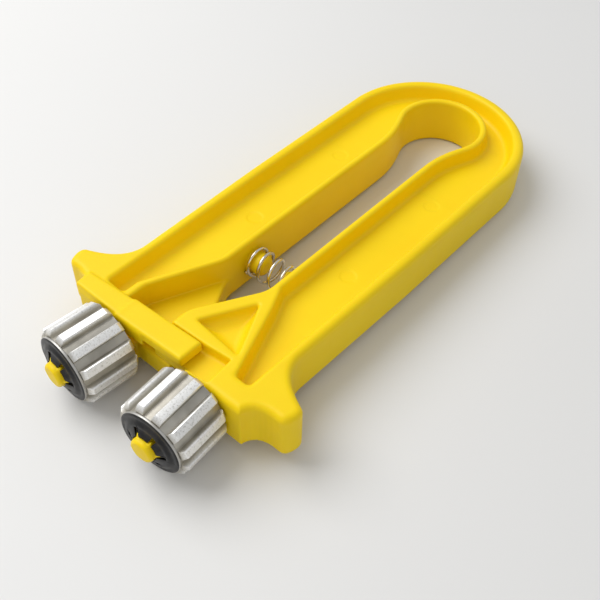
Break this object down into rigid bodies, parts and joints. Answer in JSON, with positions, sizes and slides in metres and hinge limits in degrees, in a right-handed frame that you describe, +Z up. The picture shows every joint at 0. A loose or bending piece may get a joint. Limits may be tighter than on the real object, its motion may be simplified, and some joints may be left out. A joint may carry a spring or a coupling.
{
  "type": "frame wire crimping tool",
  "caption": "Hand crimper: sprung U-shaped plastic handle with two toothed metal wheels that corrugate a hive-frame wire between them.",
  "frame": {"origin": "centre of the tool's bounding box in plan, at the height of the wheels' lowest points", "axes": "+Y towards the bow of the handle with the wheels at -Y, +X towards the right arm, +Z up out of the flat of the handle"},
  "size_m": [0.066, 0.136, 0.0183],
  "materials": {
    "yellow_plastic": "satin moulded",
    "wheel_alloy": "fine cast, bright",
    "black_spring_steel": "blackened",
    "bright_spring_wire": "bright plated"
  },
  "bodies": {
    "left_side": {"left_arm": "yellow_plastic", "bow": "yellow_plastic", "left_axle_pin": "yellow_plastic", "left_star_washer": "black_spring_steel", "coil_spring": "bright_spring_wire"},
    "right_side": {"right_arm": "yellow_plastic", "right_axle_pin": "yellow_plastic", "right_star_washer": "black_spring_steel"},
    "left_wheel_body": {"left_wheel": "wheel_alloy"},
    "right_wheel_body": {"right_wheel": "wheel_alloy"}
  },
  "joints": [
    {"name": "squeeze", "type": "hinge", "parent": "left_side", "child": "right_side", "pos_m": [0, 0.0636, 0.00915], "axis": [0, 0, -1], "range_deg": [0, 3.5], "stiffness_Nm_per_rad": 12, "deforming": ["coil_spring", "bow"]},
    {"name": "right_wheel_spin", "type": "hinge", "parent": "right_side", "child": "right_wheel_body", "pos_m": [0.01275, -0.05828, 0.00915], "axis": [0.0732, -0.9973, 0], "continuous": true},
    {"name": "left_wheel_spin", "type": "hinge", "parent": "left_side", "child": "left_wheel_body", "pos_m": [-0.01275, -0.05828, 0.00915], "axis": [-0.0767, -0.9971, 0], "continuous": true}
  ],
  "couplings": [
    {"joint": "left_wheel_spin", "follows": "right_wheel_spin", "ratio": -1}
  ]
}
